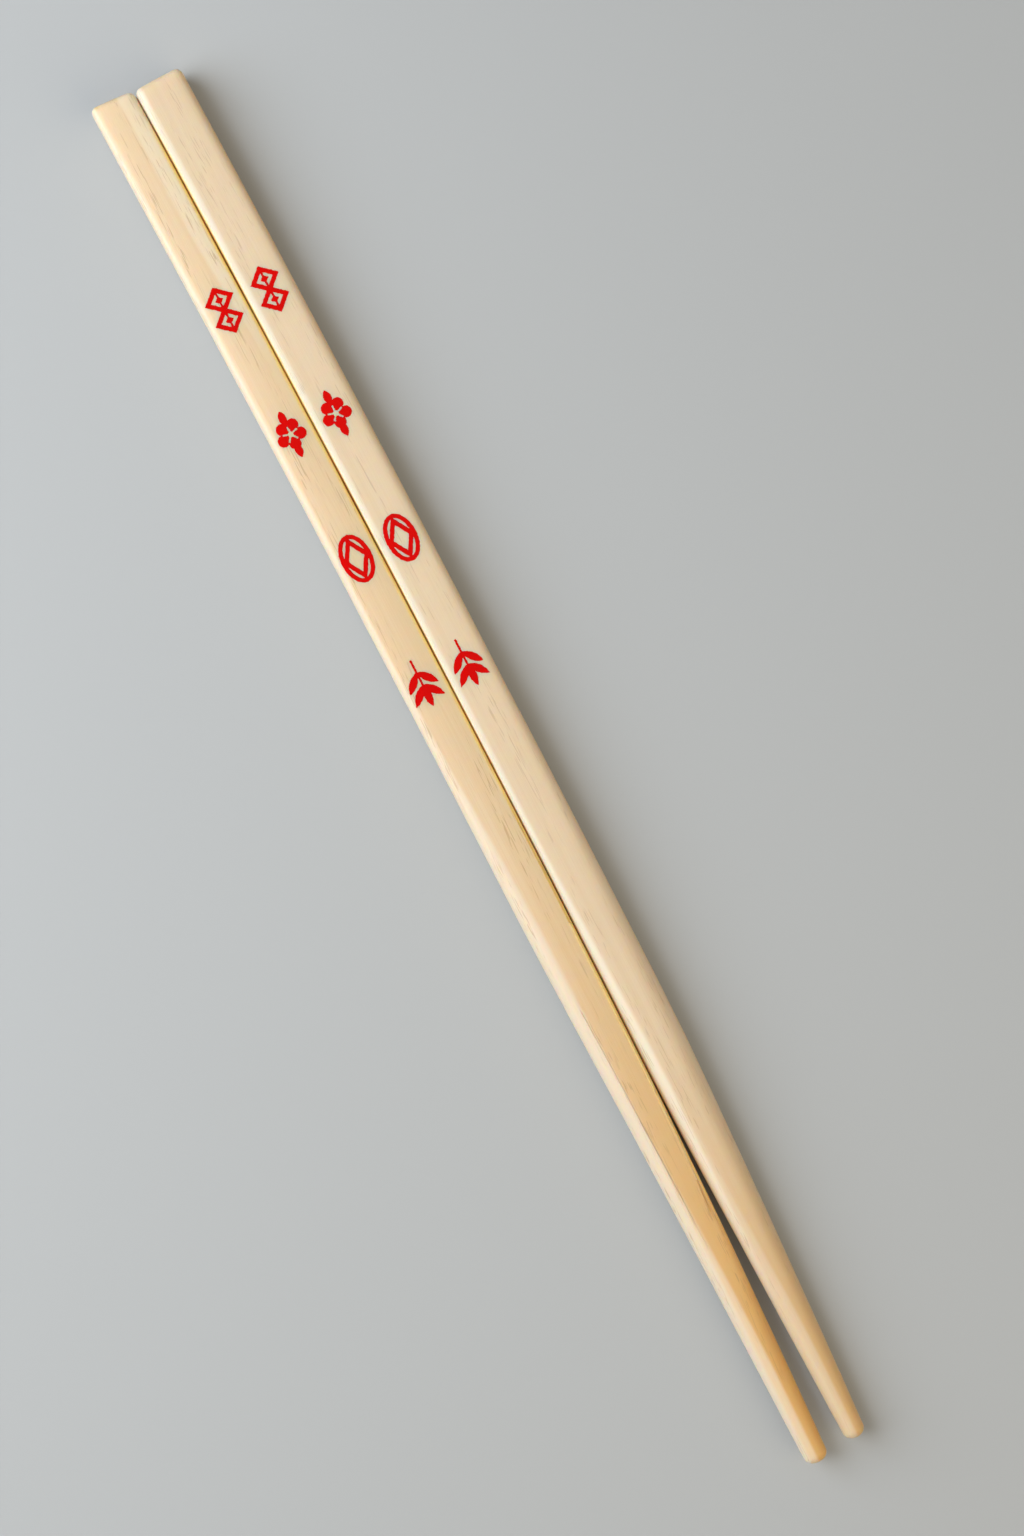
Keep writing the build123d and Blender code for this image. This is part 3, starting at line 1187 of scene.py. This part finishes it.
@dataclass(frozen=True)
class InkFinish:
    """Thin matt red printing ink, through which the fibres show faintly."""

    name: str
    red: Colour
    thin_red: Colour
    seed: float
    roughness: float = 0.75
    roughness_play: float = 0.1
    gloss: float = 0.02
    relief: float = 0.3
    relief_depth: float = 0.00002
    fibre_length: float = 12.0
    fibre_width: float = 0.16
    band_length: float = 5.0
    band_width: float = 1.6
    band_shift: float = 2.0

    def build(self, shelf: GroupShelf) -> bpy.types.Material:
        """Builds the material: thin red over red, by the mean of the fibres and the bands.

        Args:
            shelf: The shared groups.

        Returns:
            The material.
        """
        material, desk, shader = new_material(self.name)
        fibres = shelf.place(
            desk, BambooGroup.FIBRES, length=self.fibre_length, width=self.fibre_width, shift=self.seed
        )["Streaks"]
        bands = shelf.place(
            desk, BambooGroup.BANDS,
            length=self.band_length, width=self.band_width, shift=self.seed + self.band_shift,
        )["Bands"]
        thin = desk.math("MULTIPLY", desk.math("ADD", fibres, bands), 0.5)
        colour = desk.mix(thin, (*self.red, 1.0), self.thin_red)
        desk.tree.links.new(colour, shader.inputs["Base Color"])
        low, high = self.roughness - self.roughness_play / 2, self.roughness + self.roughness_play / 2
        rough = desk.remap(fibres, 0.0, 1.0, low, high)
        desk.tree.links.new(rough, shader.inputs["Roughness"])
        bump = desk.add("ShaderNodeBump", {"Strength": self.relief, "Distance": self.relief_depth, "Height": fibres})
        desk.tree.links.new(bump.outputs[0], shader.inputs["Normal"])
        shader.inputs["Specular IOR Level"].default_value = self.gloss
        return material


@dataclass(frozen=True)
class Pair:
    """The two sticks and their prints, in the model's frame."""

    left: Stick
    right: Stick
    style: PrintStyle

    def shift(self) -> np.ndarray:
        """The move that brings the middle of the pair's footprint to the origin.

        Returns:
            The move in millimetres.
        """
        skins = [stick.skin()[0] for stick in (self.left, self.right)]
        points = np.concatenate(skins)
        middle = (points.min(0) + points.max(0)) / 2
        return np.array([-middle[0], -middle[1], 0.0])

    def build(self, bamboo: dict[str, bpy.types.Material], ink: bpy.types.Material) -> None:
        """Builds every piece and reports it.

        Args:
            bamboo: Each stick's bamboo, by the stick's name.
            ink: The red ink.
        """
        shift = self.shift()
        LOG.info("the pair is moved by %.3f, %.3f mm", shift[0], shift[1])
        for stick in (self.left, self.right):
            piece = stick.build(shift, bamboo[stick.name])
            LOG.info("%s: %d faces", piece.name, len(piece.data.polygons))
            for number, ornament in enumerate(Ornament):
                seed = FIRST_SEED + number + len(Ornament) * (stick.side > 0)
                piece = InkPrint(stick, ornament, self.style, seed).build(shift, ink)
                LOG.info("%s: %d faces", piece.name, len(piece.data.polygons))


@dataclass(frozen=True)
class SoftLight:
    """One area light of the studio, aimed at the pair."""

    name: str
    towards: tuple[float, float, float]
    distance: float
    size: float
    share: float
    colour: Colour

    def build(self) -> None:
        """Makes the light. Its power gives its share of the light that makes a white floor pure white."""
        lamp = bpy.data.lights.new(self.name, "AREA")
        lamp.shape = "DISK"
        lamp.size = self.size
        way = Vector(self.towards).normalized()
        lamp.energy = self.share * math.pi**2 * self.distance**2 / way.z
        lamp.color = self.colour
        light = bpy.data.objects.new(self.name, lamp)
        light.location = way * self.distance
        light.rotation_mode = "QUATERNION"
        light.rotation_quaternion = way.to_track_quat("Z", "Y")
        light.visible_camera = False
        bpy.context.scene.collection.objects.link(light)


@dataclass(frozen=True)
class Studio:
    """The pale floor, the soft light and the camera straight above."""

    floor_colour: Colour
    floor_roughness: float
    floor_gloss: float
    floor_reach: float
    lights: tuple[SoftLight, ...]
    sky: Colour
    sky_share: float
    aim: tuple[float, float]
    turn: float
    field: float
    lens: float
    aim_height: float

    def build_floor(self) -> None:
        """Lays the plain floor that the pair lies on."""
        material, _, shader = new_material("pale_floor")
        shader.inputs["Base Color"].default_value = (*self.floor_colour, 1.0)
        shader.inputs["Roughness"].default_value = self.floor_roughness
        shader.inputs["Specular IOR Level"].default_value = self.floor_gloss
        reach = self.floor_reach / MILLIMETRE
        corners = np.array([[-reach, -reach, 0.0], [reach, -reach, 0.0], [reach, reach, 0.0], [-reach, reach, 0.0]])
        make_piece("floor", corners, [np.array([[0, 1, 2, 3]])], material)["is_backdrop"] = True

    def build_light(self) -> None:
        """Sets the even grey sky and the area lights."""
        world = bpy.data.worlds.new("studio_sky")
        world.use_nodes = True
        world.node_tree.nodes.clear()
        desk = NodeDesk(world.node_tree)
        sky = desk.add("ShaderNodeBackground", {"Color": (*self.sky, 1.0), "Strength": self.sky_share})
        desk.add("ShaderNodeOutputWorld", {"Surface": sky.outputs[0]})
        bpy.context.scene.world = world
        for light in self.lights:
            light.build()

    def build_camera(self) -> None:
        """Hangs the camera straight above, turned so that the sticks slant as they do in the picture."""
        data = bpy.data.cameras.new("camera")
        data.lens = self.lens
        data.sensor_width = SENSOR_WIDTH
        data.sensor_fit = "AUTO"
        data.clip_start, data.clip_end = NEAREST_SEEN, FARTHEST_SEEN
        camera = bpy.data.objects.new("camera", data)
        height = self.field * self.lens / SENSOR_WIDTH
        camera.matrix_world = Matrix.Translation(
            (self.aim[0] * MILLIMETRE, self.aim[1] * MILLIMETRE, (height + self.aim_height) * MILLIMETRE)
        ) @ Matrix.Rotation(math.radians(self.turn), 4, "Z")
        bpy.context.scene.collection.objects.link(camera)
        bpy.context.scene.camera = camera

    def build(self) -> None:
        """Builds the floor, the light and the camera, and shows colours as they are."""
        self.build_floor()
        self.build_light()
        self.build_camera()
        bpy.context.scene.view_settings.view_transform = "Standard"
        LOG.info("the studio is ready")


LEFT_STICK = Stick(
    name="left",
    side=-1,
    length=240.0,
    butt_width=7.5,
    handle_width=7.5,
    taper_length=101.0,
    taper_power=1.55,
    tip_width=3.75,
    tip_rounding=1.4,
    flats_fade_from=122.0,
    flats_fade_to=16.0,
    butt_lead=0.0,
    butt_slant=5.0,
    lean=0.42,
    lean_from=101.0,
    lean_to=35.0,
    seam_radius=0.14,
    seam_hold=0.4,
    ripples=(
        Ripple(0.01, 61.0, 0.4, 1),
        Ripple(0.007, 37.0, 2.1, 2),
        Ripple(0.004, 23.0, 4.4, 3),
    ),
)
RIGHT_STICK = Stick(
    name="right",
    side=1,
    length=239.0,
    butt_width=8.2,
    handle_width=7.82,
    taper_length=68.5,
    taper_power=1.2,
    tip_width=3.42,
    tip_rounding=1.3,
    flats_fade_from=130.0,
    flats_fade_to=36.0,
    butt_lead=-0.3,
    butt_slant=0.0,
    lean=-0.19,
    lean_from=82.0,
    lean_to=50.0,
    seam_radius=0.42,
    seam_hold=1.2,
    ripples=(
        Ripple(0.01, 53.0, 3.3, 1),
        Ripple(0.007, 34.0, 0.9, 2),
        Ripple(0.004, 21.0, 5.2, 3),
    ),
)

LEFT_BAMBOO = BambooFinish(
    name="left_bamboo",
    pale=(0.81, 0.65, 0.437),
    straw=(0.73, 0.53, 0.295),
    golden=(0.72, 0.43, 0.13),
    fleck=(0.42, 0.24, 0.09),
    pore=(0.30, 0.17, 0.08),
    seed=4.0,
    layers=(
        # Painted highlight: paler left flank, where the light from the left falls.
        PaintedLight((0.80, 0.70, 0.55), -1, 2.75, 1.15, start=90.0, end=155.0, share=0.7, sway=0.2),
        # Painted light: paler right part of the top near the butt, lifting the shading that darkens it towards the
        # seam.
        PaintedLight((0.85, 0.73, 0.55), 1, 0.9, 2.6, start=20.0, end=60.0, rise=60.0, full=25.0, share=0.6, sway=0.2),
        # Painted shade: golden right half of the tapered tip, the side turned from the light.
        PaintedLight((0.72, 0.43, 0.13), 1, -1.3, 0.05, start=165.0, rise=122.0, full=232.0, sway=0.45),
        # Painted shade and warm bounce: golden strip on the right edge at the seam, where the two sticks shade each
        # other.
        PaintedLight((0.94, 0.62, 0.20), 1, 3.2, 2.75, start=130.0, end=190.0, softness=0.25, rise=1.0, full=14.0),
    ),
    band_share=0.45,
    streak_share=0.4,
    fleck_share=0.45,
    fleck_rarity=0.6,
    fleck_lean=0.022,
)
RIGHT_BAMBOO = BambooFinish(
    name="right_bamboo",
    pale=(0.79, 0.645, 0.452),
    straw=(0.705, 0.53, 0.325),
    golden=(0.68, 0.44, 0.18),
    fleck=(0.42, 0.25, 0.11),
    pore=(0.30, 0.18, 0.09),
    seed=21.0,
    layers=(
        # Painted highlight: paler left flank, where the light from the left falls.
        PaintedLight(
            (0.86, 0.76, 0.61), -1, 2.75, 1.7, start=125.0, end=185.0, rise=235.0, full=180.0, share=0.8, sway=0.2
        ),
        # Painted shade: golden right half of the tapered tip, the side turned from the light.
        PaintedLight((0.68, 0.44, 0.18), 1, -1.1, 0.2, start=180.0, rise=165.0, full=240.0, sway=0.45),
        # Painted shade: golden right flank, turned from the light.
        PaintedLight((0.76, 0.52, 0.24), 1, 3.75, 3.75),
        # Painted shade: golden left edge at the seam, where the two sticks shade each other.
        PaintedLight((0.94, 0.64, 0.24), -1, 3.68, 4.2, start=115.0, end=160.0, softness=0.1, rise=1.0, full=14.0),
    ),
    band_share=0.35,
    streak_share=0.35,
    fleck_share=0.36,
    fleck_rarity=0.64,
    fleck_lean=-0.012,
)
RED_INK = InkFinish(name="red_ink", red=(0.68, 0.003, 0.002), thin_red=(0.58, 0.004, 0.003), seed=9.0)

STUDIO = Studio(
    floor_colour=(0.465, 0.48, 0.485),
    floor_roughness=0.9,
    floor_gloss=0.2,
    floor_reach=3.0,
    lights=(
        SoftLight("window_light", (-0.87, 0.6, 0.85), 0.5, 0.55, 0.62, (0.94, 1.0, 1.08)),
        SoftLight("high_light", (-0.35, 0.12, 1.0), 0.8, 0.35, 0.16, (1.0, 0.98, 0.94)),
        SoftLight("warm_fill", (0.5, -0.85, 0.95), 0.8, 0.8, 0.23, (1.0, 0.8, 0.5)),
    ),
    sky=(0.98, 1.0, 1.02),
    sky_share=0.3,
    aim=(3.09, -1.39),
    turn=-27.375,
    field=240.7,
    lens=85.0,
    aim_height=3.75,
)


def main() -> None:
    """Builds the pair and the studio, and works out the CAD and visual boxes."""
    logging.basicConfig(level=logging.INFO, format="%(name)s: %(message)s")
    shelf = GroupShelf.stock()
    bamboo = {"left": LEFT_BAMBOO.build(shelf), "right": RIGHT_BAMBOO.build(shelf)}
    Pair(LEFT_STICK, RIGHT_STICK, PrintStyle()).build(bamboo, RED_INK.build(shelf))
    STUDIO.build()
    boxes = {"cad": CAD_BOX, "visual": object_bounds()}
    {name: [list(corner) for corner in box] for name, box in boxes.items()}


if __name__ == "__main__":
    main()
